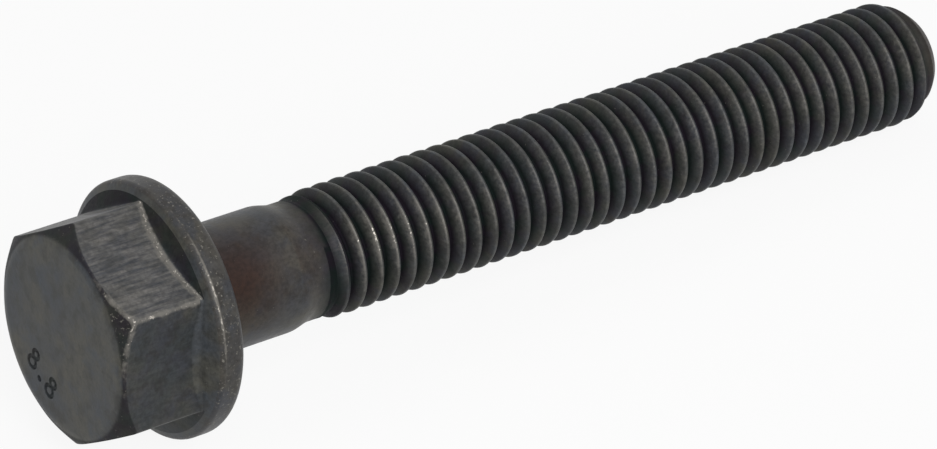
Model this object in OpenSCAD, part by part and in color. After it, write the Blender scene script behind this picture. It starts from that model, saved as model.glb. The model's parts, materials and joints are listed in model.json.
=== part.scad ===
// Hexagon bolt with a collar flange and a rolled M10 x 1.5 right-hand thread, 70 mm under the head.
// One forged and rolled piece. It lies on its side, on the flange rim and the last crests of the thread.

/* [Head] */
// Width of the hexagon across its flats
across_flats = 15.7; // [14.5:0.1:16.4]
// Radius on the upright corners of the hexagon
hex_corner_r = 0.5; // [0.1:0.1:1.5]
// Height of the head, from the bearing face to the top face
head_h = 9.5; // [8:0.1:13]
// Diameter at which the top face breaks into its chamfer
top_face_d = 15.4; // [11:0.1:15.6]
// Slope of the chamfer on the top corners, against the top face
top_chamfer_angle = 40; // [15:1:45]
// Radius that blends the top face into its chamfer
top_blend_r = 1.8; // [0.4:0.1:3]
// Turn of the hexagon from a corner straight up, as the bolt lies
hex_turn = 4; // [-30:1:30]

/* [Flange] */
// Outside diameter of the flange
flange_d = 19.6; // [19.2:0.1:26]
// Height of the flange's front edge above the bearing face
rim_h = 2.2; // [1.3:0.05:3]
// Radius on the front edge of the rim
rim_front_r = 0.45; // [0.1:0.05:0.6]
// Radius on the back edge of the rim, beside the bearing face
rim_back_r = 0.9; // [0.2:0.1:1]
// Slope of the flange's upper side, against the bearing face
flange_angle = 25; // [15:1:40]

/* [Shank] */
// Length under the head, from the bearing face to the tip
bolt_l = 70; // [30:1:95]
// Diameter of the plain shank
shank_d = 9.7; // [9.4:0.1:11]
// Length of the plain shank under the head
shank_l = 8.35; // [4:0.05:15]
// Radius of the fillet between the bearing face and the shank
head_fillet_r = 0.5; // [0.2:0.1:1]
// Length of the rounded shoulder from the shank down to the neck
shoulder_l = 1.9; // [1:0.1:4]
// Length of the neck between the shoulder and the thread
neck_l = 0.7; // [0.4:0.1:3]

/* [Thread] */
// Diameter over the thread's crests
thread_d = 9.8; // [9:0.05:11]
// Pitch of the thread
pitch = 1.5; // [1.25:0.25:1.75]
// Width of the crest along the axis
crest_w = 0.22; // [0.1:0.02:0.3]
// Depth of the neck below the crests, the bare blank on which the thread is rolled
neck_depth = 0.37; // [0.3:0.01:0.55]
// Length over which the first turns grow out of the neck
run_in_l = 2.2; // [1:0.1:5]
// Sides of one turn of the thread
turn_sides = 24; // [12:1:24]
// Place round the bolt where the thread starts, turned from straight up as the bolt lies
thread_turn = 307.5; // [0:7.5:360]

/* [Tip] */
// Length of the rounded point
tip_l = 2.9; // [1.5:0.1:5]
// Diameter of the flat end face
tip_face_d = 6.8; // [4:0.1:7.5]
// Fullness of the rounded point: 1 is a straight cone
tip_fullness = 1.9; // [1:0.1:3]

/* [Hidden] */
$fn = 96;

steel = [0.22, 0.22, 0.21];
// Depth of a rolled thread as a share of its pitch
thread_depth_ratio = 0.61343;
// Segments in one blend, fillet or rounded corner, and in the shoulder
blend_steps = 4;
shoulder_steps = 8;
// How far the chamfer's outline clears the corners, the flange enters the hexagon and the core the neck
overlap = 1;
// Distance of the thread's first turn from the neck's end
first_turn_gap = 0.05;
// Step from the neck down to the thread's core, and the last turn's distance from the end face
core_step = 0.08;
last_turn_gap = 0.12;

corner_r = across_flats / 2 / cos(30);
flange_r = flange_d / 2;
shank_r = shank_d / 2;
crest_r = thread_d / 2;
root_r = crest_r - thread_depth_ratio * pitch;
neck_r = crest_r - neck_depth;
neck_start = shank_l + shoulder_l;
neck_end = neck_start + neck_l;
tip_start = bolt_l - tip_l;
tip_face_r = tip_face_d / 2;

// Points of an arc about centre c. In a turned profile they are [radius, height] pairs
function arc(c, r, from, to, steps) =
    [for (k = [0:steps]) let (a = from + (to - from) * k / steps) c + r * [cos(a), sin(a)]];

// Outline of the hexagon with rounded corners, the first of them on the first axis
corner_inset = hex_corner_r / cos(30);
hex_outline = [
    for (a = [0:60:300])
        each arc((corner_r - corner_inset) * [cos(a), sin(a)], hex_corner_r, a - 30, a + 30, blend_steps)
];

// Chamfered outline of the head, turned about the axis
top_tangent = top_blend_r * tan(top_chamfer_angle / 2);
top_blend = arc(
    [top_face_d / 2 - top_tangent, top_blend_r - head_h],
    top_blend_r, -90, -90 + top_chamfer_angle, blend_steps
);
chamfer_run = corner_r + overlap - top_face_d / 2;
chamfer_profile = concat(
    [[0, -head_h]],
    top_blend,
    [
        [corner_r + overlap, chamfer_run * tan(top_chamfer_angle) - head_h],
        [corner_r + overlap, 0],
        [0, 0],
    ]
);

// Flange, shank and neck, turned about the axis, from inside the hexagon to the start of the thread
flange_inner_r = across_flats / 2 - overlap;
flange_top = -rim_h - (flange_r - flange_inner_r) * tan(flange_angle);
front_tangent = rim_front_r * tan(45 - flange_angle / 2);
rim_front = arc(
    [flange_r - rim_front_r, front_tangent - rim_h],
    rim_front_r, flange_angle - 90, 0, blend_steps
);
rim_back = arc([flange_r - rim_back_r, -rim_back_r], rim_back_r, 0, 90, blend_steps);
head_fillet = arc([shank_r + head_fillet_r, head_fillet_r], head_fillet_r, 270, 180, blend_steps);
shoulder = [
    for (k = [0:shoulder_steps]) let (t = k / shoulder_steps)
        [neck_r + (shank_r - neck_r) * (1 + cos(180 * t)) / 2, shank_l + shoulder_l * t]
];
body_profile = concat(
    [[0, flange_top], [flange_inner_r, flange_top]],
    rim_front,
    rim_back,
    head_fillet,
    shoulder,
    [[neck_r, neck_end], [0, neck_end]]
);

// One pitch of the thread: root, flank, crest and flank, as [radius, height above the turn's start]
flank_l = (crest_r - root_r) * tan(30);
root_w = pitch - crest_w - 2 * flank_l;
turn_profile = [
    [root_r, 0],
    [root_r, root_w],
    [crest_r, root_w + flank_l],
    [crest_r, root_w + flank_l + crest_w],
];
turn_points = len(turn_profile);

// Radius of the rounded point at height z
function tip_limit(z) =
    let (t = max(0, min(1, (z - tip_start) / tip_l)))
    tip_face_r + (crest_r - tip_face_r) * (1 - pow(t, tip_fullness));

// Radius of the thread at height z: it grows out of the core over the first turns and ends in the point
thread_start = neck_end + first_turn_gap;
core_r = neck_r - core_step;
function thread_radius(profile_r, z) =
    let (grown = max(0, min(1, (z - thread_start) / run_in_l)))
    min(core_r + grown * (profile_r - core_r), tip_limit(z));

function around(r, step, z) =
    let (a = thread_turn + 360 * step / turn_sides)
    [r * cos(a), r * sin(a), z];
function thread_point(step, k) =
    let (z = thread_start + pitch * step / turn_sides + turn_profile[k][1])
    around(thread_radius(turn_profile[k][0], z), step, z);

// The helix is a strip of profiles, one a step. Its upper edge is the lower edge one turn later
last_step = floor(turn_sides * ((bolt_l - last_turn_gap - thread_start) / pitch - 1));
strip_size = (last_step + 1) * turn_points;
strip = [for (i = [0:last_step]) for (k = [0:turn_points - 1]) thread_point(i, k)];
upper_edge = [for (i = [1:turn_sides]) thread_point(last_step + i, 0)];
core_ring = [for (i = [0:turn_sides - 1]) around(core_r, i, neck_end - overlap)];
end_ring = [for (i = [1:turn_sides]) around(tip_face_r, last_step + i, bolt_l)];
thread_points = concat(strip, upper_edge, core_ring, end_ring);

function strip_at(i, k) =
    k == turn_points ? strip_at(i + turn_sides, 0)
    : i <= last_step ? i * turn_points + k
    : strip_size + i - last_step - 1;
function core_at(i) = strip_size + turn_sides + i % turn_sides;
function end_at(i) = strip_size + 2 * turn_sides + (i - last_step - 1 + turn_sides) % turn_sides;

// Four-sided face split along one diagonal
function quad(a, b, c, d) = [[a, b, c], [a, c, d]];

flank_faces = [
    for (i = [0:last_step - 1]) for (k = [0:turn_points - 1])
        each quad(strip_at(i, k), strip_at(i, k + 1), strip_at(i + 1, k + 1), strip_at(i + 1, k))
];
// Below the first turn, closed at the step where the helix starts
start_faces = [
    for (i = [0:turn_sides - 2])
        each quad(core_at(i), strip_at(i, 0), strip_at(i + 1, 0), core_at(i + 1))
];
start_corner = core_at(turn_sides - 1);
start_seam = concat(
    [[start_corner, strip_at(0, 0), core_at(0)]],
    [for (k = [0:turn_points - 1]) [start_corner, strip_at(0, k + 1), strip_at(0, k)]],
    [[start_corner, strip_at(turn_sides - 1, 0), strip_at(turn_sides, 0)]]
);
// Above the last turn, closed at the step where the helix ends
first_end = last_step - turn_sides;
end_faces = [
    for (i = [first_end + 1:last_step - 1])
        each quad(strip_at(i, turn_points), end_at(i), end_at(i + 1), strip_at(i + 1, turn_points))
];
end_corner = end_at(first_end + 1);
end_seam = concat(
    [[end_corner, strip_at(first_end + 1, turn_points), strip_at(last_step, 0)]],
    [for (k = [0:turn_points - 1]) [end_corner, strip_at(last_step, k), strip_at(last_step, k + 1)]],
    [[end_corner, strip_at(last_step, turn_points), end_at(last_step)]]
);
core_cap = [[for (i = [0:turn_sides - 1]) core_at(i)]];
end_cap = [[for (i = [1:turn_sides]) end_at(last_step + turn_sides - i)]];
thread_faces = concat(flank_faces, start_faces, start_seam, end_faces, end_seam, core_cap, end_cap);

// Lying on its side with X up: the rim's back edge and the lowest crests share the ground
rest_z = -rim_back_r;
lie_tilt = min([for (p = thread_points) atan((flange_r + p.x) / (p.z - rest_z))]);
ground = flange_r * cos(lie_tilt) + rest_z * sin(lie_tilt);
// Ends of the lying bolt along the ground, for an origin under its middle
head_reach = max([for (p = chamfer_profile) p[0] * sin(lie_tilt) - p[1] * cos(lie_tilt)]);
tip_reach = bolt_l * cos(lie_tilt) + tip_face_r * sin(lie_tilt);

module hexagon() {
    intersection() {
        rotate([0, 0, -hex_turn])
            translate([0, 0, -head_h])
                linear_extrude(head_h - rim_h / 2)
                    polygon(hex_outline);
        rotate_extrude()
            polygon(chamfer_profile);
    }
}

module flange_and_shank() {
    rotate_extrude()
        polygon(body_profile);
}

module thread() {
    polyhedron(thread_points, thread_faces, convexity = 10);
}

module bolt() {
    color(steel)
        translate([(head_reach - tip_reach) / 2, 0, ground])
            rotate([0, 90 + lie_tilt, 0]) rotate([0, 0, 180])
                union() {
                    hexagon();
                    flange_and_shank();
                    thread();
                }
}

bolt();
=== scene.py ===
import json
import math

import bmesh
import bpy
import numpy as np
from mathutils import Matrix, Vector, noise
from mathutils.geometry import delaunay_2d_cdt


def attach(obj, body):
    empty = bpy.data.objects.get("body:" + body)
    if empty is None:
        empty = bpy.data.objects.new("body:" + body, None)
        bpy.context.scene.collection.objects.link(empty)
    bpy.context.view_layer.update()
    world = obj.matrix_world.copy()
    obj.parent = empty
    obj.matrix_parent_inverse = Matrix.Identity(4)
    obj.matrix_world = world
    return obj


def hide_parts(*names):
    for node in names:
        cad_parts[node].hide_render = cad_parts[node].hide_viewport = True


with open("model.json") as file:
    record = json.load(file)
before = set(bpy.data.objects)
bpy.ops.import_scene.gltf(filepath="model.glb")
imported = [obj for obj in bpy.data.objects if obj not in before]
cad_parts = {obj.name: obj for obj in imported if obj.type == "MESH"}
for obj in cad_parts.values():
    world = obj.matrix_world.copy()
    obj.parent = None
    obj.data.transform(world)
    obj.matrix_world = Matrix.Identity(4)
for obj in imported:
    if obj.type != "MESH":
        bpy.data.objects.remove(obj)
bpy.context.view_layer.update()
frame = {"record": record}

# Sizes of the bolt in millimetres. Heights run along its axis: 0 at the bearing face, minus toward the head
MM = 0.001
ACROSS_FLATS = 15.7
HEX_SIDES = 6
HEX_CORNER_R = 0.5
HEX_TURN = math.radians(4)
HEAD_H = 9.5
TOP_FACE_D = 15.4
TOP_CHAMFER_ANGLE = math.radians(40)
TOP_BLEND_R = 1.8
FLANGE_R = 9.8
FLANGE_ANGLE = math.radians(25)
RIM_H = 2.2
RIM_FRONT_R = 0.45
RIM_BACK_R = 0.9
BOLT_L = 70
SHANK_R = 4.85
SHANK_L = 8.35
HEAD_FILLET_R = 0.5
SHOULDER_L = 1.9
NECK_L = 0.7
NECK_R = 4.53
CREST_R = 4.9
CREST_W = 0.22
PITCH = 1.5
FLANK_ANGLE = math.radians(30)
THREAD_DEPTH_RATIO = 0.61343
FIRST_TURN_GAP = 0.05
RUN_IN_L = 2.2
THREAD_TURN = math.radians(-52.5)
TIP_L = 2.9
TIP_FACE_R = 3.4
TIP_FULLNESS = 1.9

# Small rounding of the forged and rolled edges. The fillet at a flat's foot grows from each corner inward
HEX_EDGE_R = 0.15
CORNER_FOOT_R = 0.2
FLAT_FOOT_R = 0.6
FOOT_GROWTH_L = 3
CREST_EDGE_R = 0.19
ROOT_EDGE_R = 0.17
# Unevenness of the rolled crests, its shift inward, and how fast it changes round the bolt and along it
CREST_UNEVEN = 0.018
UNEVEN_INWARD = 0.5
UNEVEN_ROUND = 3
UNEVEN_ALONG = 1.3

# Plain numbers pressed into the head's top face: their place, and the rings of a figure as (height, radius)
MARK_FROM_CENTRE = 4.75
MARK_ANGLE = math.radians(-151)
MARK_SPACING = 1.3
MARK_STROKE = 0.36
LOW_RING = (-0.46, 0.64)
HIGH_RING = (0.5, 0.54)
DOT_RING = (-0.8, 0.27)
# Levels of a pressed stroke, as (inset from its outline, depth, share of painted shade)
MARK_LEVELS = ((0.0, 0.0, 0.0), (0.02, 0.02, 0.4), (0.07, 0.12, 0.5))

# Columns of the mesh: on a flat and on a corner of the hexagon, and round the shank and thread
FLAT_COLUMNS = 22
CORNER_COLUMNS = 8
TURN_COLUMNS = 96
# Rows along each stretch of the profile, and points round each ring of the mark
CROWN_ROWS = 12
HEX_EDGE_ROWS = 4
FLAT_ROWS = 18
FOOT_ROWS = 7
RIM_FRONT_ROWS = 7
RIM_LAND_ROWS = 9
RIM_BACK_ROWS = 8
FILLET_ROWS = 6
SHANK_ROWS = 14
SHOULDER_ROWS = 12
ROOT_EDGE_ROWS = 2
CREST_EDGE_ROWS = 4
END_FACE_SHARES = (0.98, 0.85, 0.5, 0.15)
RING_STEPS = 18
EYE_STEPS = 14
# Distance of the row that keeps a flat stretch flat beside a rounded edge
EDGE_GAP = 0.05
# Ring of the bearing face where the head's columns meet the shank's: distance from the shank, and width
SEAM_FROM_SHANK = 2
SEAM_W = 0.4
# Whole turns by which the thread's strip starts inside the neck
LEAD_TURNS = 2

# Wear: width of its band beside each kind of edge
EDGE_WEAR_W = 0.32
CORNER_WEAR_W = 0.4
FOOT_WEAR_W = 0.5
FOOT_EDGE_W = 0.15
RIM_WEAR_W = 0.16
RIM_WEAR = 1.2
# Side of the bolt that was rubbed most, its spread, and the least wear elsewhere, on head and thread. On the
# thread the far side also keeps more painted shade in its grooves
RUBBED_ANGLE = math.radians(56)
RUBBED_HALF = math.radians(26)
UNRUBBED_WEAR = 0.45
THREAD_RUBBED_HALF = math.radians(40)
THREAD_UNRUBBED_AND_SHADED = 0.05

# Coat of the head: the chamfer's dark sets in between two distances from the edge of the top face
CHAMFER_SPAN = (-0.18, 0.12)
CHAMFER_DARK = 0.65
CHAMFER_STAIN = 0.15
FACE_GRIT = 0.3
# How far each flat is scraped, which also paints each flat lighter or darker as the light falls on it, and
# how much painted shade lies on the flange at its foot, from the first corner onward
FLAT_SCRAPES_AND_LIGHT = (1.0, 0.15, 0.5, 0.7, 0.3, 0.8)
FOOT_PAINTED_SHADES = (0.68, 0.0, 0.4, 0.2, 0.6, 0.8)
# How dark a flat stays where it was not scraped: partly coat, and on the flats that get less light, painted
# shade
PLAIN_FLAT_DARK = 0.36
FLAT_GRIT = 0.2
FLANGE_GRIT = 0.4
# Stretch of the foot's fillet over which its painted shade sets in, radius at which that ends, and its least
# width
FOOT_DARK_SPAN = (5 / 12, 7 / 12)
FOOT_DARK_R = 9.15
FOOT_DARK_MIN_W = 0.02
RIM_MASKS = {"stain": 0.25, "grit": 0.9}
BEARING_MASKS = {"stain": 0.3}

# Brown stain on the shank: its middle round the bolt, its spread, and how it sets in and fades lengthwise
STAIN_ANGLE = math.radians(52)
STAIN_HALF = math.radians(52)
FILLET_STAIN = 0.4
SHANK_END_STAIN = 0.35
SHANK_FADE_SPAN = (0.375, 1)
SHANK_GRIT = 0.2
# Shoulder: places along it are shares of its length
SHOULDER_STAIN = 0.5
SHOULDER_GRIT = 0.4
SHOULDER_WEAR = 0.5
SHOULDER_WEAR_AT = 0.6
SHOULDER_WEAR_W = 0.4
SHOULDER_DARK = 0.2
SHOULDER_DARK_SPAN = (0.75, 1)
NECK_MASKS = {"stain": 0.3, "dark": 0.6}

# Coat of the thread, with painted shade in its grooves. Depths in a groove are shares of its full depth,
# from the crest down
WHOLE_COAT_AND_SHADE_DEPTH = 0.25
WORN_FLANK_SPAN = (0.2, 0.7)
BACK_FLANK_DARK = 0.4
BACK_FLANK_DEPTH = 0.2
RUN_IN_DARK = 0.8
# Lighter scraped crests on the rubbed side, partly a painted highlight
CREST_SCRAPE_AND_HIGHLIGHT = 0.9
CREST_WEAR_DEPTH = 0.25
CREST_LEAST_WEAR = 0.3
CREST_WEAR = 0.68
# Wear and painted highlight added to the crests nearest the head: its amount, the height of its middle, and
# its spread
NEAR_CREST_WEAR_AND_HIGHLIGHT = 0.4
NEAR_CREST_Z = 16
NEAR_CREST_HALF = 7
THREAD_GRIT = 0.3
TIP_STAIN = 0.8
TIP_DARK_LOSS = 0.85
END_EDGE_MASKS = {"stain": 0.8, "dark": 0.3}
END_FACE_MASKS = {"stain": 0.5, "dark": 0.2}

# Colours of the finish, some of which also paint light and shade, and the height of its bumps in millimetres
BLUE_GREY_OXIDE = (0.042, 0.047, 0.053, 1)
OLIVE_OXIDE = (0.065, 0.063, 0.051, 1)
BLUE_OXIDE = (0.038, 0.047, 0.060, 1)
BLACK_OXIDE = (0.026, 0.026, 0.023, 1)
DARK_STREAK = (0.034, 0.036, 0.042, 1)
LIGHT_STREAK = (0.132, 0.126, 0.119, 1)
WARM_BROWN = (0.025, 0.011, 0.007, 1)
COOL_BROWN = (0.024, 0.012, 0.009, 1)
GREEN_BLACK = (0.006, 0.011, 0.010, 1)
VIOLET_BLACK = (0.011, 0.008, 0.013, 1)
RUBBED_GREY = (0.170, 0.160, 0.143, 1)
PALE_GRIT = (0.150, 0.143, 0.125, 1)
BARE_STEEL = (0.42, 0.39, 0.35, 1)
BUMP_H = 0.08

# Stage, in metres. The floor lies just under the bolt, and is nearly white where the camera sees it
FLOOR_HALF = 2.0
FLOOR_DROP = 0.00005
FLOOR_WHITE_SHARE = 0.9
FILL_STRENGTH = 0.3
WHITE = (1, 1, 1, 1)
PAPER = (0.85, 0.85, 0.85, 1)
# Area lights that face the ground under the bolt: name, place, width and power in watts
LIGHTS = (
    ("key", (-0.08, -0.36, 0.30), 0.35, 1.7),
    ("back", (-0.05, 0.20, 0.45), 0.30, 0.3),
)
# Camera at the photo's angle, placed from the centre of the bearing face. Lens and sensor are in millimetres
CAMERA_AZIMUTH = math.radians(-36.56)
CAMERA_ELEVATION = math.radians(33.815)
CAMERA_FROM_BEARING = (-0.191126, -0.293892, 0.241150)
CAMERA_LENS = 225.384
CAMERA_SENSOR_W = 36
CAMERA_CLIP_START = 0.01

# Values worked out from those above
FULL_TURN = 2 * math.pi
QUARTER_TURN = math.pi / 2
SECTOR = FULL_TURN / HEX_SIDES
HALF_SECTOR = SECTOR / 2
APOTHEM = ACROSS_FLATS / 2
FLAT_HALF = (APOTHEM - HEX_CORNER_R) * math.tan(HALF_SECTOR)
FACE_R = TOP_FACE_D / 2 - TOP_BLEND_R * math.tan(TOP_CHAMFER_ANGLE / 2)
RIM_FRONT_Z = RIM_FRONT_R * math.tan(math.pi / 4 - FLANGE_ANGLE / 2) - RIM_H
SEAM_R = SHANK_R + SEAM_FROM_SHANK
NECK_END = SHANK_L + SHOULDER_L + NECK_L
THREAD_START = NECK_END + FIRST_TURN_GAP
THREAD_DEPTH = THREAD_DEPTH_RATIO * PITCH
ROOT_R = CREST_R - THREAD_DEPTH
TIP_START = BOLT_L - TIP_L

# Masks of the finish and of painted light and shade, each with one value at every point of the mesh
MASKS = ("wear", "scrape", "stain", "dark", "grit")


class Skin:
    """Points in the bolt's own millimetres, faces, and a value of each mask at each point."""

    def __init__(self):
        self.points = []
        self.faces = []
        self.flat_faces = range(0)
        self.masks = {name: [] for name in MASKS}

    def add(self, point, **masks):
        self.points.append(point)
        for name in MASKS:
            self.masks[name].append(masks.get(name, 0.0))
        return len(self.points) - 1

    def ring(self, angles, radius, height, **masks):
        return [self.add(polar(a, radius, height), **masks) for a in angles]

    def band(self, row, angles, path):
        """Rows of a turned surface after the given one, from (radius, height, masks). Returns the last."""
        for radius, height, masks in path:
            next_row = []
            for a in angles:
                stain = masks.get("stain", 0.0) * falloff(turn_between(a, STAIN_ANGLE), STAIN_HALF)
                next_row.append(self.add(polar(a, radius, height), **{**masks, "stain": stain}))
            self.bridge(row, next_row)
            row = next_row
        return row

    def bridge(self, first, second):
        """Four-sided faces between two closed rows of as many points."""
        for i in range(len(first)):
            j = (i + 1) % len(first)
            self.faces.append((first[i], first[j], second[j], second[i]))

    def stitch(self, first, first_angles, second, second_angles):
        """Triangles between two closed rows of unlike counts, both sorted by angle from one start."""
        i = j = 0
        first_angles = [*first_angles, first_angles[0] + FULL_TURN]
        second_angles = [*second_angles, second_angles[0] + FULL_TURN]
        while i < len(first) or j < len(second):
            a = first[i % len(first)]
            b = second[j % len(second)]
            on_first = j == len(second)
            if not on_first and i < len(first):
                on_first = first_angles[i + 1] <= second_angles[j + 1]
            if on_first:
                i += 1
                self.faces.append((a, first[i % len(first)], b))
            else:
                j += 1
                self.faces.append((a, second[j % len(second)], b))


def polar(angle, radius, height):
    return (radius * math.cos(angle), radius * math.sin(angle), height)


def turn_between(angle, other):
    """Signed turn from one angle to another, by the shorter way."""
    return (other - angle + math.pi) % FULL_TURN - math.pi


def clamp(value, low=0.0, high=1.0):
    return max(low, min(high, value))


def ramp(value, low, high):
    """Smooth rise from 0 at the low value to 1 at the high one."""
    t = clamp((value - low) / (high - low))
    return t * t * (3 - 2 * t)


def falloff(distance, width):
    """1 at no distance, and soon 0 beyond the width."""
    return math.exp(-((distance / width) ** 2))


def shares(count):
    """Even shares from 0 to 1."""
    return [k / count for k in range(count + 1)]


def spread(count, edge=0.02):
    """Shares from 0 to 1 with one close to each end, which keeps a flat stretch flat in its shading."""
    return [0, *(edge + (1 - 2 * edge) * t for t in shares(count - 3)), 1]


def rubbed(angle, least=UNRUBBED_WEAR, half=RUBBED_HALF):
    """Share of the full wear at an angle round the bolt."""
    return least + (1 - least) * falloff(turn_between(angle, RUBBED_ANGLE), half)


# Head: each column runs from the top face over the chamfer, down a flat and out over the flange


def head_angles():
    """Angles of the head's columns, close together round the corners of the hexagon."""
    corner_half = HALF_SECTOR - math.atan(FLAT_HALF / APOTHEM)
    corner_span = 2 * corner_half
    flat_span = SECTOR - corner_span
    angles = []
    for side in range(HEX_SIDES):
        corner = side * SECTOR - HEX_TURN
        corner_start = corner - corner_half
        flat_start = corner + corner_half
        angles += [corner_start + corner_span * k / CORNER_COLUMNS for k in range(CORNER_COLUMNS)]
        angles += [flat_start + flat_span * k / FLAT_COLUMNS for k in range(FLAT_COLUMNS)]
    return angles


def hex_wall(angle):
    """Radius of the rounded hexagon at an angle, and the distance along the flat to its nearest corner."""
    from_corner = (angle + HEX_TURN + HALF_SECTOR) % SECTOR - HALF_SECTOR
    from_middle = HALF_SECTOR - abs(from_corner)
    along = APOTHEM * math.tan(from_middle)
    to_corner = APOTHEM * math.tan(HALF_SECTOR) - along
    if along <= FLAT_HALF:
        return APOTHEM / math.cos(from_middle), to_corner
    centre = (APOTHEM - HEX_CORNER_R) / math.cos(HALF_SECTOR)
    across = centre * math.sin(from_corner)
    return centre * math.cos(from_corner) + math.sqrt(HEX_CORNER_R**2 - across**2), to_corner


def crown_path(wall):
    """Top blend, chamfer and rounded edge above a wall, as (radius, height, distance to the edge)."""
    blend_z = TOP_BLEND_R - HEAD_H
    inner_r = TOP_BLEND_R - HEX_EDGE_R
    reach = wall - HEX_EDGE_R - FACE_R
    turn = min(math.asin(clamp(reach / inner_r)), TOP_CHAMFER_ANGLE)
    beyond = max(0.0, reach - inner_r * math.sin(TOP_CHAMFER_ANGLE))
    blend_l = TOP_BLEND_R * turn
    total = blend_l + beyond / math.cos(TOP_CHAMFER_ANGLE)
    path = []
    for k in range(CROWN_ROWS):
        run = total * k / CROWN_ROWS
        bend = min(run, blend_l) / TOP_BLEND_R
        straight = max(0.0, run - blend_l)
        r = FACE_R + TOP_BLEND_R * math.sin(bend) + straight * math.cos(TOP_CHAMFER_ANGLE)
        z = blend_z - TOP_BLEND_R * math.cos(bend) + straight * math.sin(TOP_CHAMFER_ANGLE)
        path.append((r, z, total - run))
    centre_z = blend_z - inner_r * math.cos(turn) + beyond * math.tan(TOP_CHAMFER_ANGLE)
    for share in shares(HEX_EDGE_ROWS):
        bend = turn + (QUARTER_TURN - turn) * share
        r = wall - HEX_EDGE_R + HEX_EDGE_R * math.sin(bend)
        path.append((r, centre_z - HEX_EDGE_R * math.cos(bend), 0.0))
    return path


def foot_path(wall, to_corner):
    """Fillet at a wall's foot and the flange's cone out to the rim, as (radius, height, share of painted
    shade).
    """
    foot_r = CORNER_FOOT_R + (FLAT_FOOT_R - CORNER_FOOT_R) * ramp(to_corner, 0, FOOT_GROWTH_L)
    centre_r = wall + foot_r
    centre_z = cone_z(centre_r) - foot_r / math.cos(FLANGE_ANGLE)
    path = []
    for share in shares(FOOT_ROWS - 1):
        bend = (QUARTER_TURN - FLANGE_ANGLE) * share
        r = centre_r - foot_r * math.cos(bend)
        path.append((r, centre_z + foot_r * math.sin(bend), ramp(share, *FOOT_DARK_SPAN)))
    start_r = path[-1][0]
    middle_r = max(FOOT_DARK_R, start_r + FOOT_DARK_MIN_W)
    end_r = FLANGE_R - RIM_FRONT_R * (1 - math.sin(FLANGE_ANGLE))
    for inner_r, outer_r, dark in ((start_r, middle_r, 1.0), (middle_r, end_r, 0.0)):
        for share in spread(FOOT_ROWS)[1:]:
            r = inner_r + (outer_r - inner_r) * share
            path.append((r, cone_z(r), dark))
    return path


def cone_z(radius):
    """Height of the flange's upper side."""
    return -RIM_H - (FLANGE_R - radius) * math.tan(FLANGE_ANGLE)


def head_column(skin, angle):
    """Points of one column, from the top face to the rim."""
    wall, to_corner = hex_wall(angle)
    flat = int((angle + HEX_TURN) / SECTOR) % HEX_SIDES
    # Scraping of this flat, which also paints it lighter or darker as the light falls on it and sets the
    # light band at its foot
    scrape = FLAT_SCRAPES_AND_LIGHT[flat]
    share = rubbed(angle)
    crown = crown_path(wall)
    foot = foot_path(wall, to_corner)
    top_z = crown[-1][1]
    foot_z = foot[0][1]
    column = []
    for r, z, to_edge in crown:
        chamfer = ramp(r - TOP_FACE_D / 2, *CHAMFER_SPAN)
        masks = {
            "wear": share * falloff(to_edge, EDGE_WEAR_W),
            "stain": CHAMFER_STAIN * chamfer,
            "dark": CHAMFER_DARK * chamfer,
            "grit": FACE_GRIT + (1 - FACE_GRIT) * chamfer * share,
        }
        column.append(skin.add(polar(angle, r, z), **masks))
    for step in spread(FLAT_ROWS)[1:-1]:
        z = top_z + (foot_z - top_z) * step
        edge_wear = max(falloff(z - top_z, EDGE_WEAR_W), falloff(to_corner, CORNER_WEAR_W))
        masks = {
            "wear": max(share * edge_wear, scrape * falloff(foot_z - z, FOOT_WEAR_W)),
            "scrape": scrape,
            "dark": PLAIN_FLAT_DARK * (1 - scrape),
            "grit": FLAT_GRIT,
        }
        column.append(skin.add(polar(angle, wall, z), **masks))
    # The flange beside each flat's foot gets that flat's share of painted shade
    for r, z, dark in foot:
        masks = {
            "wear": scrape * falloff(r - wall, FOOT_EDGE_W),
            "dark": FOOT_PAINTED_SHADES[flat] * dark,
            "grit": FLANGE_GRIT,
        }
        column.append(skin.add(polar(angle, r, z), **masks))
    return column


def make_head(skin, angles):
    """Hexagon and upper side of the flange. Returns the row round the top face and the row at the rim."""
    columns = [head_column(skin, angle) for angle in angles]
    rows = [list(row) for row in zip(*columns)]
    for first, second in zip(rows, rows[1:]):
        skin.bridge(first, second)
    return rows[0], rows[-1]


# Mark: loops of points on the top face, each repeated at every level of the pressed stroke


def circle_loop(height, radius):
    loop = []
    for k in range(EYE_STEPS):
        turn = FULL_TURN / EYE_STEPS * k
        loop.append((radius * math.cos(turn), height + radius * math.sin(turn)))
    return loop


def eight_loops(inset):
    """Outline and two eyes of the figure eight, about its middle. The inset narrows its stroke."""
    low_y, low_r = LOW_RING[0], LOW_RING[1] - inset
    high_y, high_r = HIGH_RING[0], HIGH_RING[1] - inset
    gap = high_y - low_y
    rise = (gap**2 + low_r**2 - high_r**2) / (2 * gap)
    half = math.sqrt(low_r**2 - rise**2)
    low_turn = math.atan2(rise, half)
    high_turn = math.atan2(rise - gap, half)
    outline = []
    for height, radius, start, end in (
        (low_y, low_r, math.pi - low_turn, FULL_TURN + low_turn),
        (high_y, high_r, high_turn, math.pi - high_turn),
    ):
        for k in range(RING_STEPS):
            a = start + (end - start) * k / RING_STEPS
            outline.append((radius * math.cos(a), height + radius * math.sin(a)))
    low_eye = circle_loop(low_y, low_r - MARK_STROKE + 2 * inset)
    high_eye = circle_loop(high_y, high_r - MARK_STROKE + 2 * inset)
    return [outline, low_eye, high_eye]


def dot_loops(inset):
    height, radius = DOT_RING
    return [circle_loop(height, radius - inset)]


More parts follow.
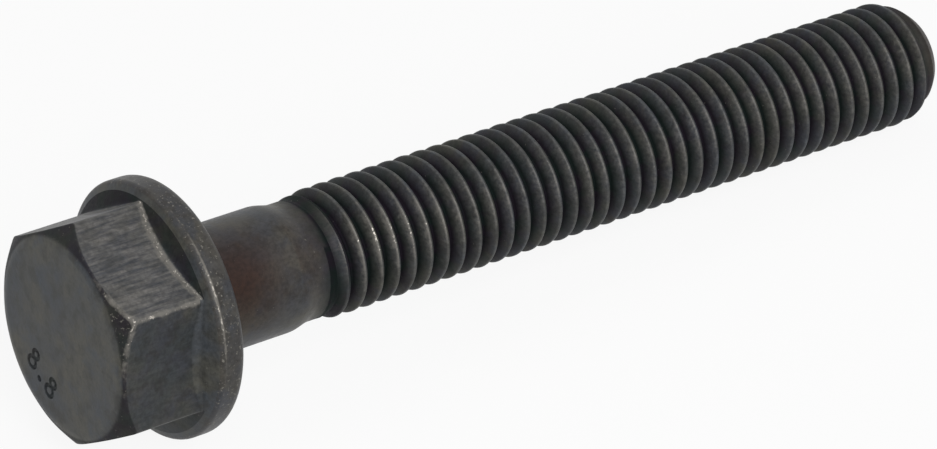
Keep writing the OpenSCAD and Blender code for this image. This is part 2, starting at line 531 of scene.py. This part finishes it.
def make_top_face(skin, border):
    """Flat top of the head inside its border row, with the mark pressed in. Its faces are shaded flat."""
    first_face = len(skin.faces)
    flat = [skin.points[i][:2] for i in border]
    known = list(border)
    edges = [(k, (k + 1) % len(border)) for k in range(len(border))]
    reading = MARK_ANGLE + QUARTER_TURN
    middle = MARK_FROM_CENTRE * np.array([math.cos(MARK_ANGLE), math.sin(MARK_ANGLE)])
    right = np.array([math.cos(reading), math.sin(reading)])
    up = np.array([-right[1], right[0]])
    for place, loops in ((-1, eight_loops), (0, dot_loops), (1, eight_loops)):
        # Each level's dark share paints shade inside the pressed stroke
        for inset, depth, dark in MARK_LEVELS:
            for loop in loops(inset):
                start = len(flat)
                for x, y in loop:
                    p = middle + (place * MARK_SPACING + x) * right + y * up
                    flat.append((p[0], p[1]))
                    known.append(skin.add((p[0], p[1], depth - HEAD_H), dark=dark))
                edges += [(start + k, start + (k + 1) % len(loop)) for k in range(len(loop))]
    hull_triangles = 0
    merge_gap = 1e-6
    found = delaunay_2d_cdt([Vector(p) for p in flat], edges, [], hull_triangles, merge_gap)
    triangles, origins = found[2:4]
    for triangle in triangles:
        skin.faces.append(tuple(known[origins[k][0]] for k in triangle))
    skin.flat_faces = range(first_face, len(skin.faces))


# Shank: rim, bearing face, shank and shoulder, turned about the axis


def make_rim(skin, row, angles):
    """Edges and land of the flange's rim and the outer part of the bearing face. Returns the last row."""
    path = []
    for share in shares(RIM_FRONT_ROWS)[1:]:
        bend = FLANGE_ANGLE + (QUARTER_TURN - FLANGE_ANGLE) * share
        r = FLANGE_R - RIM_FRONT_R * (1 - math.sin(bend))
        path.append((r, RIM_FRONT_Z - RIM_FRONT_R * math.cos(bend)))
    land = -RIM_BACK_R - RIM_FRONT_Z
    path += [(FLANGE_R, RIM_FRONT_Z + land * share) for share in spread(RIM_LAND_ROWS)[1:-1]]
    for share in shares(RIM_BACK_ROWS):
        bend = QUARTER_TURN * share
        r = FLANGE_R - RIM_BACK_R * (1 - math.cos(bend))
        path.append((r, RIM_BACK_R * (math.sin(bend) - 1)))
    path.append((FLANGE_R - RIM_BACK_R - EDGE_GAP, 0.0))
    path.append((SEAM_R + SEAM_W, 0.0))
    for r, z in path:
        crease_wear = RIM_WEAR * falloff(z - RIM_FRONT_Z, RIM_WEAR_W)
        next_row = [skin.add(polar(a, r, z), wear=crease_wear * rubbed(a), **RIM_MASKS) for a in angles]
        skin.bridge(row, next_row)
        row = next_row
    return row


def shank_path():
    """Fillet, shank, shoulder and neck, as (radius, height, masks)."""
    path = [(SHANK_R + HEAD_FILLET_R + EDGE_GAP, 0.0, {"stain": FILLET_STAIN})]
    for share in shares(FILLET_ROWS):
        bend = QUARTER_TURN * share
        r = SHANK_R + HEAD_FILLET_R * (1 - math.sin(bend))
        stain = FILLET_STAIN + (1 - FILLET_STAIN) * share
        path.append((r, HEAD_FILLET_R * (1 - math.cos(bend)), {"stain": stain}))
    for share in spread(SHANK_ROWS)[1:]:
        z = HEAD_FILLET_R + (SHANK_L - HEAD_FILLET_R) * share
        stain = 1 - (1 - SHANK_END_STAIN) * ramp(share, *SHANK_FADE_SPAN)
        path.append((SHANK_R, z, {"stain": stain, "grit": SHANK_GRIT}))
    for share in shares(SHOULDER_ROWS)[1:]:
        drop = (1 - math.cos(math.pi * share)) / 2
        masks = {
            "wear": SHOULDER_WEAR * falloff(share - SHOULDER_WEAR_AT, SHOULDER_WEAR_W),
            "stain": SHOULDER_STAIN,
            "dark": SHOULDER_DARK * ramp(share, *SHOULDER_DARK_SPAN),
            "grit": SHOULDER_GRIT,
        }
        path.append((SHANK_R + (NECK_R - SHANK_R) * drop, SHANK_L + SHOULDER_L * share, masks))
    path.append((NECK_R, NECK_END, NECK_MASKS))
    return path


def make_shank(skin, rim_row, head_columns, turn_angles):
    """Everything between the flange's front edge and the thread. Returns the neck's last row."""
    outer = make_rim(skin, rim_row, head_columns)
    inner = skin.ring(turn_angles, SEAM_R, 0.0, **BEARING_MASKS)
    skin.stitch(outer, head_columns, inner, turn_angles)
    return skin.band(inner, turn_angles, shank_path())


# Thread: a strip of rolled profiles along a right-hand helix, held between the neck and the end face


def rounded(before, corner, after, radius, steps):
    """Points of the arc that rounds a corner between two straight lines."""
    before, corner, after = (np.array(p, float) for p in (before, corner, after))
    one = (before - corner) / np.linalg.norm(before - corner)
    two = (after - corner) / np.linalg.norm(after - corner)
    half = math.acos(clamp(float(one @ two), -1, 1)) / 2
    bisector = (one + two) / np.linalg.norm(one + two)
    centre = corner + bisector * radius / math.sin(half)
    start = corner + one * radius / math.tan(half) - centre
    end = corner + two * radius / math.tan(half) - centre
    turn = math.acos(clamp(float(start @ end) / radius**2, -1, 1))
    points = []
    for t in shares(steps):
        blend = start * math.sin((1 - t) * turn) + end * math.sin(t * turn)
        points.append(centre + blend / math.sin(turn))
    return points


def thread_profile():
    """One pitch of the thread with rounded edges, as (height, radius, whether it faces the head)."""
    flank = THREAD_DEPTH * math.tan(FLANK_ANGLE)
    root_w = PITCH - CREST_W - 2 * flank
    before = (-flank, CREST_R)
    root_start = (0, ROOT_R)
    root_end = (root_w, ROOT_R)
    crest_start = (root_w + flank, CREST_R)
    crest_end = (root_w + flank + CREST_W, CREST_R)
    after = (PITCH, ROOT_R)
    profile = []
    for corners, radius, rows, faces_head in (
        ((before, root_start, root_end), ROOT_EDGE_R, ROOT_EDGE_ROWS, False),
        ((root_start, root_end, crest_start), ROOT_EDGE_R, ROOT_EDGE_ROWS, True),
        ((root_end, crest_start, crest_end), CREST_EDGE_R, CREST_EDGE_ROWS, True),
        ((crest_start, crest_end, after), CREST_EDGE_R, CREST_EDGE_ROWS, False),
    ):
        profile += [(height, r, faces_head) for height, r in rounded(*corners, radius, rows)]
    return profile


def thread_radius(profile_r, height, angle):
    """Radius of the thread, which grows out of the neck, has an uneven crest and ends in the rounded tip."""
    grown = ramp(height, THREAD_START, THREAD_START + RUN_IN_L)
    past = clamp((height - TIP_START) / TIP_L)
    limit = TIP_FACE_R + (CREST_R - TIP_FACE_R) * (1 - past**TIP_FULLNESS)
    crest = clamp((profile_r - ROOT_R) / THREAD_DEPTH)
    roll = noise.noise(Vector(polar(angle, UNEVEN_ROUND, height * UNEVEN_ALONG))) - UNEVEN_INWARD
    radius = NECK_R + grown * (profile_r - NECK_R) + CREST_UNEVEN * crest**3 * roll * grown
    return min(radius, limit)


def thread_masks(radius, height, angle, faces_head):
    """The grooves stay black, partly coat and partly painted shade, the crests are rubbed and partly given a
    painted highlight, most of all near the head, and the tip is brown.
    """
    depth = clamp((CREST_R - radius) / THREAD_DEPTH)
    tip = ramp(height, TIP_START, BOLT_L)
    share = rubbed(angle, THREAD_UNRUBBED_AND_SHADED, THREAD_RUBBED_HALF)
    if faces_head:
        worn_dark = ramp(depth, *WORN_FLANK_SPAN)
        near_head = falloff(height - NEAR_CREST_Z, NEAR_CREST_HALF)
        crest_wear_and_highlight = (CREST_WEAR + NEAR_CREST_WEAR_AND_HIGHLIGHT * near_head) * falloff(depth, CREST_WEAR_DEPTH)
        wear = (CREST_LEAST_WEAR + (1 - CREST_LEAST_WEAR) * share) * crest_wear_and_highlight
        scrape = CREST_SCRAPE_AND_HIGHLIGHT * share * (1 - depth)
    else:
        worn_dark = BACK_FLANK_DARK + (1 - BACK_FLANK_DARK) * ramp(depth, 0, BACK_FLANK_DEPTH)
        wear = 0.0
        scrape = 0.0
    whole_dark = ramp(depth, 0, WHOLE_COAT_AND_SHADE_DEPTH)
    run_in = 1 - ramp(height, NECK_END, NECK_END + RUN_IN_L)
    # The groove's dark is coat and painted shade, and fills the whole groove away from the rubbed side
    dark = max(whole_dark + (worn_dark - whole_dark) * share, RUN_IN_DARK * run_in)
    return {
        "wear": wear * (1 - tip),
        "scrape": scrape,
        "stain": TIP_STAIN * tip,
        "dark": dark * (1 - TIP_DARK_LOSS * tip),
        "grit": THREAD_GRIT,
    }


def make_thread(skin, neck, turn_angles):
    """Helical strip from the neck's row to the row round the end face, which is returned."""
    profile = thread_profile()
    size = len(profile)
    start_z = THREAD_START + PITCH * (turn_angles[0] - THREAD_TURN) / FULL_TURN
    first = -LEAD_TURNS * TURN_COLUMNS
    last = TURN_COLUMNS * math.ceil((BOLT_L - start_z) / PITCH)
    end_row = skin.ring(turn_angles, TIP_FACE_R, BOLT_L, **END_EDGE_MASKS)
    at = {}
    for step in range(first, last + TURN_COLUMNS + 1):
        column = step % TURN_COLUMNS
        angle = turn_angles[column]
        for k, (rise, profile_r, faces_head) in enumerate(profile):
            z = start_z + PITCH * step / TURN_COLUMNS + rise
            if z <= NECK_END:
                at[step, k] = neck[column]
            elif z >= BOLT_L:
                at[step, k] = end_row[column]
            else:
                r = thread_radius(profile_r, z, angle)
                at[step, k] = skin.add(polar(angle, r, z), **thread_masks(r, z, angle, faces_head))
    for step in range(first, last):
        for k in range(size):
            above = (step, k + 1) if k + 1 < size else (step + TURN_COLUMNS, 0)
            corners = (at[step, k], at[step + 1, k], at[above[0] + 1, above[1]], at[above])
            kept = tuple(c for i, c in enumerate(corners) if c != corners[i - 1])
            if len(set(kept)) == len(kept) and len(kept) > 2:
                skin.faces.append(kept)
    return end_row


def make_end_face(skin, end_row, turn_angles):
    """Flat end of the bolt inside its row."""
    path = [(share * TIP_FACE_R, BOLT_L, END_FACE_MASKS) for share in END_FACE_SHARES]
    row = skin.band(end_row, turn_angles, path)
    centre = skin.add((0.0, 0.0, BOLT_L), **END_FACE_MASKS)
    for i in range(len(row)):
        skin.faces.append((row[i], row[(i + 1) % len(row)], centre))


# Bolt: the parts above in one closed mesh


def bolt_frame():
    """Centre of the bearing face and the bolt's own axes in the row frame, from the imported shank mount."""
    shank = next(m for m in frame["record"]["mounts"] if m["name"] == "shank")
    axis = Vector(shank["axis"]).normalized()
    to_middle = (HEAD_FILLET_R + shank["dims"]["length_mm"] / 2) * MM
    side = Vector((0, -1, 0))
    return Vector(shank["pos_m"]) - axis * to_middle, np.array([side.cross(axis), side, axis])


def make_skin():
    skin = Skin()
    head_columns = head_angles()
    turn_angles = [head_columns[0] + FULL_TURN * k / TURN_COLUMNS for k in range(TURN_COLUMNS)]
    border, rim_row = make_head(skin, head_columns)
    make_top_face(skin, border)
    neck = make_shank(skin, rim_row, head_columns, turn_angles)
    end_row = make_thread(skin, neck, turn_angles)
    make_end_face(skin, end_row, turn_angles)
    return skin


def make_bolt():
    """The whole bolt at its place in the row frame, with its masks and its own millimetres at each point."""
    skin = make_skin()
    origin, axes = bolt_frame()
    local = np.array(skin.points)
    mesh = bpy.data.meshes.new("bolt")
    mesh.from_pydata((np.array(origin) + MM * local @ axes).tolist(), [], skin.faces)
    at = mesh.attributes.new("bolt_at", "FLOAT_VECTOR", "POINT")
    at.data.foreach_set("vector", local.astype(np.float32).ravel())
    for name in MASKS:
        mask = mesh.attributes.new(name, "FLOAT", "POINT")
        mask.data.foreach_set("value", np.array(skin.masks[name], np.float32))
    work = bmesh.new()
    work.from_mesh(mesh)
    bmesh.ops.recalc_face_normals(work, faces=work.faces)
    for face in work.faces:
        face.smooth = face.index not in skin.flat_faces
    work.to_mesh(mesh)
    work.free()
    bolt = bpy.data.objects.new("hex_flange_bolt", mesh)
    bpy.context.collection.objects.link(bolt)
    return bolt


# Finish: dark oxide with streaked flats, brown stains on the shank and bare steel on worn edges, with
# painted light and shade on the flats, painted shade at their feet, in the grooves and in the mark, and
# painted highlights on the crests


class Nodes:
    """Short calls for building one node tree."""

    def __init__(self, tree):
        self.tree = tree
        tree.nodes.clear()

    def add(self, kind, links=None, **settings):
        made = self.tree.nodes.new(kind)
        for name, value in settings.items():
            setattr(made, name, value)
        for socket, value in (links or {}).items():
            if isinstance(value, bpy.types.NodeSocket):
                self.tree.links.new(value, made.inputs[socket])
            else:
                made.inputs[socket].default_value = value
        return made

    def mask(self, name):
        return self.add("ShaderNodeAttribute", attribute_name=name).outputs["Fac"]

    def math(self, operation, a, b=0.0):
        return self.add("ShaderNodeMath", {0: a, 1: b}, operation=operation).outputs[0]

    def noise(self, place, scale, detail=3.0, stretch=(1, 1, 1), shift=(0, 0, 0)):
        moved = self.add("ShaderNodeMapping", {"Vector": place, "Scale": stretch, "Location": shift})
        made = self.add(
            "ShaderNodeTexNoise",
            {"Vector": moved.outputs[0], "Scale": scale, "Detail": detail, "Roughness": 0.6},
        )
        return made.outputs["Fac"]

    def step(self, value, low, high, to_low=0.0, to_high=1.0):
        made = self.add(
            "ShaderNodeMapRange",
            {"Value": value, "From Min": low, "From Max": high, "To Min": to_low, "To Max": to_high},
            interpolation_type="SMOOTHSTEP",
        )
        return made.outputs[0]

    def mix(self, share, a, b):
        """Blend of two colours. The node's colour sockets are at places 6 and 7, and its result at 2."""
        made = self.add("ShaderNodeMix", {"Factor": share, 6: a, 7: b}, data_type="RGBA")
        return made.outputs[2]

    def scale(self, colour, factor):
        return self.add("ShaderNodeVectorMath", {0: colour, "Scale": factor}, operation="SCALE").outputs[0]


def black_steel():
    material = bpy.data.materials.new("black_steel")
    material.use_nodes = True
    n = Nodes(material.node_tree)
    place = n.add("ShaderNodeAttribute", attribute_name="bolt_at").outputs["Vector"]
    wear, scrape, stain, dark, grit = (n.mask(name) for name in MASKS)

    cloud = n.noise(place, 0.22, detail=3)
    tint = n.noise(place, 0.45, detail=3, shift=(3, 8, 2))
    blotch = n.noise(place, 0.8, detail=5, shift=(7, 3, 1))
    grain = n.noise(place, 3.0, detail=6)
    streak = n.noise(place, 1.0, detail=5, stretch=(3.6, 3.6, 0.45))
    breakup = n.noise(place, 1.8, detail=6, shift=(2, 5, 9))
    speck = n.noise(place, 4.5, detail=3, shift=(4, 4, 4))

    # Oxide: dark grey with bluish, olive and black clouds
    base = n.mix(n.step(cloud, 0.35, 0.65), BLUE_GREY_OXIDE, OLIVE_OXIDE)
    base = n.mix(n.step(tint, 0.5, 0.7, 0.0, 0.7), base, BLUE_OXIDE)
    base = n.mix(n.step(blotch, 0.45, 0.7, 0.0, 0.8), base, BLACK_OXIDE)
    # Flats: streaks along the axis, where the hexagon was scraped; the share per flat also paints each flat
    # lighter or darker as the light falls on it, and on the thread's crests it is partly a painted highlight
    streaked = n.mix(n.step(streak, 0.3, 0.7), DARK_STREAK, LIGHT_STREAK)
    scraped = n.math("MULTIPLY", scrape, n.step(blotch, 0.35, 0.6, 1.0, 0.55))
    base = n.mix(scraped, base, streaked)
    # Brown stains
    brown = n.mix(n.step(tint, 0.3, 0.6), WARM_BROWN, COOL_BROWN)
    base = n.mix(stain, base, brown)
    # The dark mask blends to a deep black, tinted green and violet: painted shade at the feet of the flats
    # and in the pressed mark, coat and painted shade in the grooves, and coat elsewhere
    deep = n.mix(n.step(tint, 0.4, 0.6), GREEN_BLACK, VIOLET_BLACK)
    base = n.mix(dark, base, deep)
    # Fine mottling of the whole coat
    base = n.scale(base, n.step(grain, 0.3, 0.7, 0.75, 1.25))

    # Rubbed edges turn grey, and so do the painted highlights on the crests, with specks of bare steel and
    # pale grit
    grey = n.step(n.math("ADD", wear, n.math("MULTIPLY", breakup, 1.2)), 1.1, 1.7)
    base = n.mix(n.math("MULTIPLY", grey, 0.8), base, RUBBED_GREY)
    dots = n.step(n.math("ADD", speck, n.math("MULTIPLY", grit, 0.16)), 0.75, 0.82)
    base = n.mix(dots, base, PALE_GRIT)
    bare = n.step(n.math("ADD", wear, n.math("MULTIPLY", speck, 2.0)), 2.1, 2.35)
    base = n.mix(bare, base, BARE_STEEL)

    # Shine: the deep black, coat and painted shade alike, is rough, and like bare steel and the stains it is
    # partly metallic
    dull = n.math("MULTIPLY", dark, n.math("SUBTRACT", 1.0, grey))
    metal = n.math("MAXIMUM", n.math("MULTIPLY", dull, 0.75), n.math("MULTIPLY", bare, 0.7))
    metal = n.math("MAXIMUM", metal, n.math("MULTIPLY", stain, 0.4))
    rough = n.math("ADD", n.step(grain, 0.3, 0.7, 0.38, 0.52), n.math("MULTIPLY", dull, 0.35))
    scratches = n.math("MULTIPLY", n.math("MULTIPLY", scrape, streak), 0.8)
    bump = n.math("ADD", n.math("MULTIPLY", grain, 0.8), scratches)
    normal = n.add("ShaderNodeBump", {"Height": bump, "Strength": 0.4, "Distance": BUMP_H * MM})
    surface = n.add(
        "ShaderNodeBsdfPrincipled",
        {
            "Base Color": base,
            "Metallic": metal,
            "Roughness": rough,
            "Specular IOR Level": 0.25,
            "Normal": normal.outputs[0],
        },
    )
    n.add("ShaderNodeOutputMaterial", {"Surface": surface.outputs[0]})
    return material


# Stage: a white floor and backdrop, a soft key light from the front, and the photo's view


def seen(n):
    """1 where a ray comes straight from the camera or from a glossy or clear surface."""
    path = n.add("ShaderNodeLightPath")
    straight = n.math("MAXIMUM", path.outputs["Is Camera Ray"], path.outputs["Is Glossy Ray"])
    return n.math("MAXIMUM", straight, path.outputs["Is Transmission Ray"])


def floor_paper():
    material = bpy.data.materials.new("floor")
    material.use_nodes = True
    n = Nodes(material.node_tree)
    paper = n.add("ShaderNodeBsdfDiffuse", {"Color": PAPER})
    white = n.add("ShaderNodeEmission", {"Color": WHITE, "Strength": 1.0})
    share = n.math("MULTIPLY", seen(n), FLOOR_WHITE_SHARE)
    mixed = n.add("ShaderNodeMixShader", {0: share, 1: paper.outputs[0], 2: white.outputs[0]})
    n.add("ShaderNodeOutputMaterial", {"Surface": mixed.outputs[0]})
    return material


def make_floor():
    corners = [(x * FLOOR_HALF, y * FLOOR_HALF, 0) for x, y in ((-1, -1), (1, -1), (1, 1), (-1, 1))]
    mesh = bpy.data.meshes.new("floor")
    mesh.from_pydata(corners, [], [(0, 1, 2, 3)])
    mesh.materials.append(floor_paper())
    floor = bpy.data.objects.new("floor", mesh)
    floor.location.z = -FLOOR_DROP
    bpy.context.collection.objects.link(floor)


def make_world():
    world = bpy.data.worlds.new("studio")
    bpy.context.scene.world = world
    world.use_nodes = True
    n = Nodes(world.node_tree)
    fill = n.add("ShaderNodeBackground", {"Color": WHITE, "Strength": FILL_STRENGTH})
    white = n.add("ShaderNodeBackground", {"Color": WHITE, "Strength": 1.0})
    mixed = n.add("ShaderNodeMixShader", {0: seen(n), 1: fill.outputs[0], 2: white.outputs[0]})
    n.add("ShaderNodeOutputWorld", {"Surface": mixed.outputs[0]})


def area_light(name, place, width, power):
    data = bpy.data.lights.new(name, "AREA")
    data.size = width
    data.energy = power
    light = bpy.data.objects.new(name, data)
    light.location = place
    light.rotation_mode = "QUATERNION"
    light.rotation_quaternion = (-Vector(place)).to_track_quat("-Z", "Y")
    bpy.context.collection.objects.link(light)


def make_camera(bearing):
    """Camera at the photo's angle, from the place of the bearing face's centre."""
    back = Vector(
        (
            math.sin(CAMERA_AZIMUTH) * math.cos(CAMERA_ELEVATION),
            -math.cos(CAMERA_AZIMUTH) * math.cos(CAMERA_ELEVATION),
            math.sin(CAMERA_ELEVATION),
        )
    )
    data = bpy.data.cameras.new("camera")
    data.sensor_width = CAMERA_SENSOR_W
    data.lens = CAMERA_LENS
    data.clip_start = CAMERA_CLIP_START
    camera = bpy.data.objects.new("camera", data)
    camera.location = bearing + Vector(CAMERA_FROM_BEARING)
    camera.rotation_mode = "QUATERNION"
    camera.rotation_quaternion = (-back).to_track_quat("-Z", "Y")
    bpy.context.collection.objects.link(camera)
    bpy.context.scene.camera = camera


bolt = make_bolt()
bolt.data.materials.append(black_steel())
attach(bolt, "root")
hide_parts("bolt")

make_floor()
make_world()
for light in LIGHTS:
    area_light(*light)
make_camera(bolt_frame()[0])
bpy.context.scene.view_settings.view_transform = "Standard"
